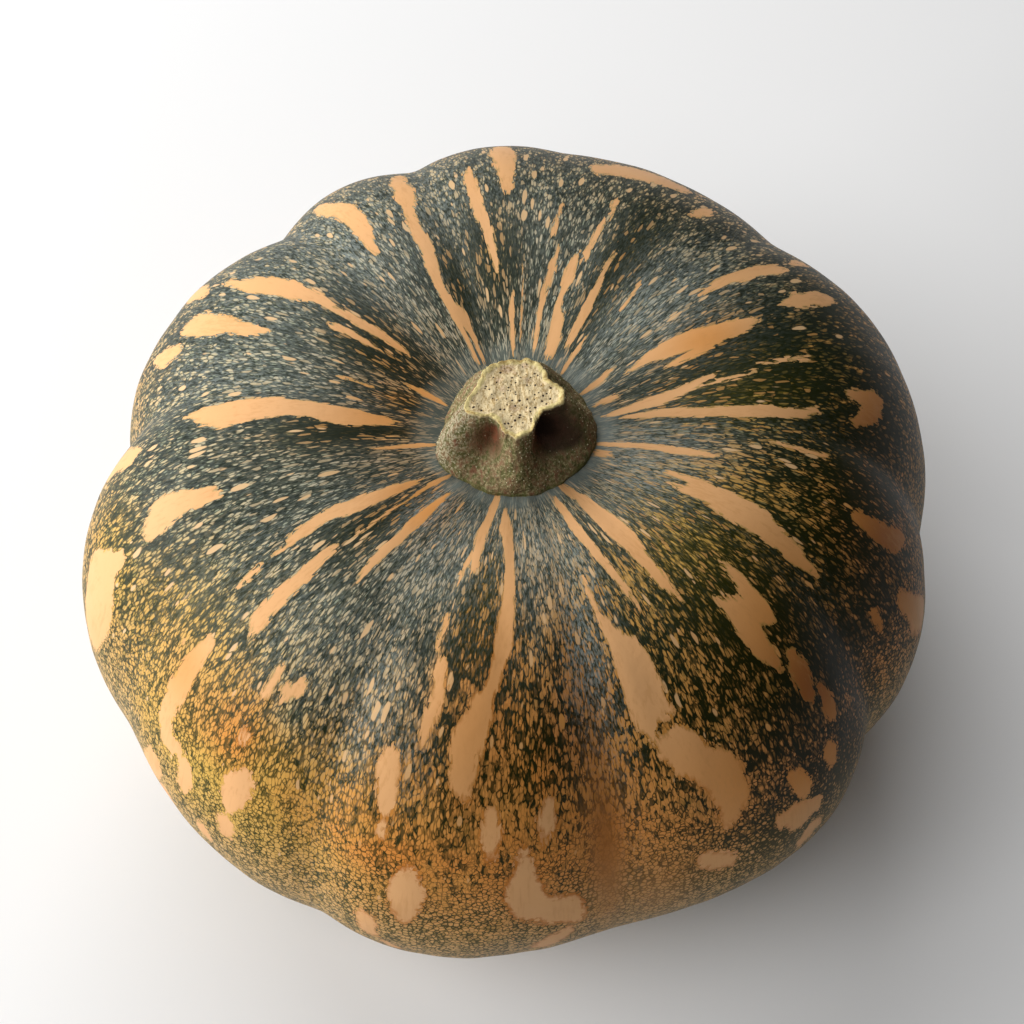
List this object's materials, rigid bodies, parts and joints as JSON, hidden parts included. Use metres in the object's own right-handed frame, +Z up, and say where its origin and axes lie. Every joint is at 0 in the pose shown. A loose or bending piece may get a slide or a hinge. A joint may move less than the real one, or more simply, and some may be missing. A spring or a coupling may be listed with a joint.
{
  "type": "kabocha squash",
  "caption": "Whole kabocha squash: a squat, broadly ribbed fruit, standing on its blossom end, with a short, ridged, corky stem cut off square.",
  "frame": {"origin": "under the middle of the fruit, on the surface that it stands on", "axes": "+Z up along the stem, -Y towards the side of the fruit that is nearer to the stem, +X to that side's right"},
  "size_m": [0.188, 0.1906, 0.1258],
  "materials": {
    "rind": "hard waxy rind, dark green and blue-grey net over pale tan, with peach blotches and a dull bloom",
    "corky_wood": "rough olive-brown sides and a pale, pitted, corky cut face"
  },
  "bodies": {
    "root": {"fruit": "rind", "stem": "corky_wood"}
  },
  "joints": []
}
